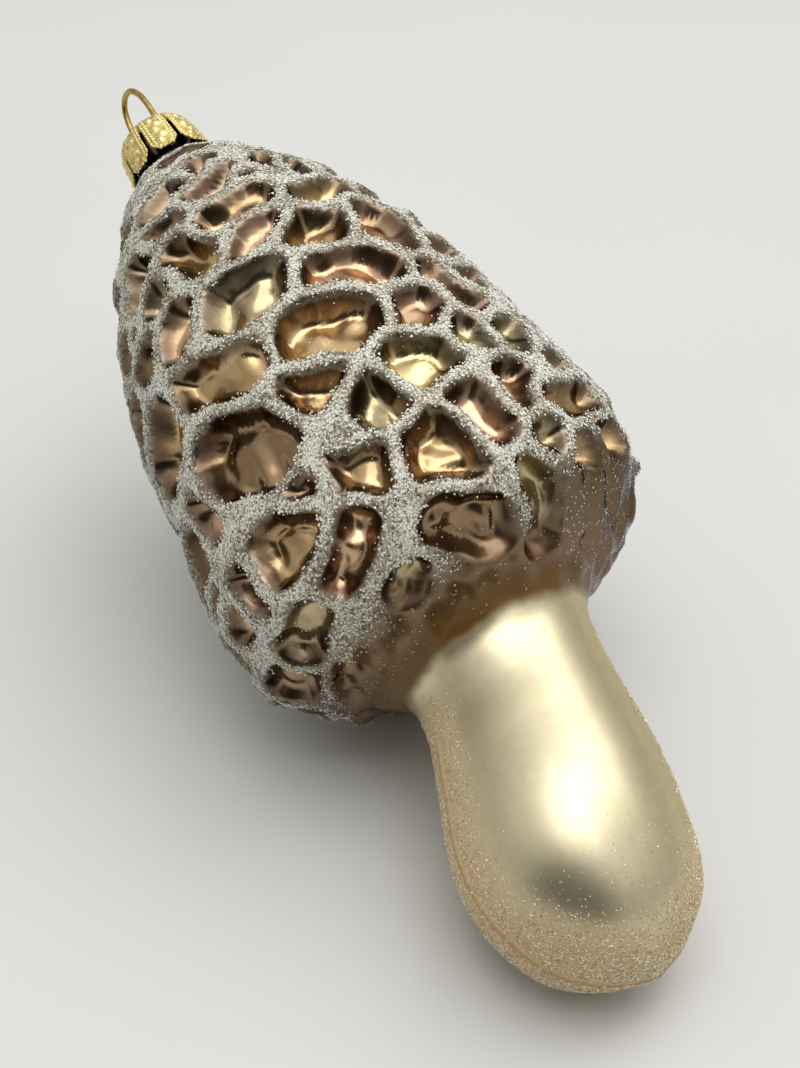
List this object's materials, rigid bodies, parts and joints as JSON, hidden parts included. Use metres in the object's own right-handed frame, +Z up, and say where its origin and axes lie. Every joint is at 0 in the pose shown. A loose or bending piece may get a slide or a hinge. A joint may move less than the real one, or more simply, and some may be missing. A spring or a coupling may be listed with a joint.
{
  "type": "morel mushroom tree ornament",
  "caption": "Blown-glass tree ornament shaped like a morel, with a honeycombed frosted cap, a gold stem, a metal crown and a wire hanging loop.",
  "frame": {"origin": "on the ground, under the middle of the whole ornament's box, as it lies on its side", "axes": "+X from the hanging loop towards the stem's end, +Z up, +Y across the ornament"},
  "size_m": [0.1288, 0.0538, 0.0573],
  "materials": {
    "silvered_glass": "blown glass silvered inside, bronze and gold lacquer outside, ridges coated with crushed-glass frost",
    "gold_crown": "stamped sheet metal, gold finish",
    "gold_wire": "drawn wire, gold finish"
  },
  "bodies": {
    "root": {"glass_body": "silvered_glass", "crown_cap": "gold_crown", "hanging_wire": "gold_wire"}
  },
  "joints": []
}
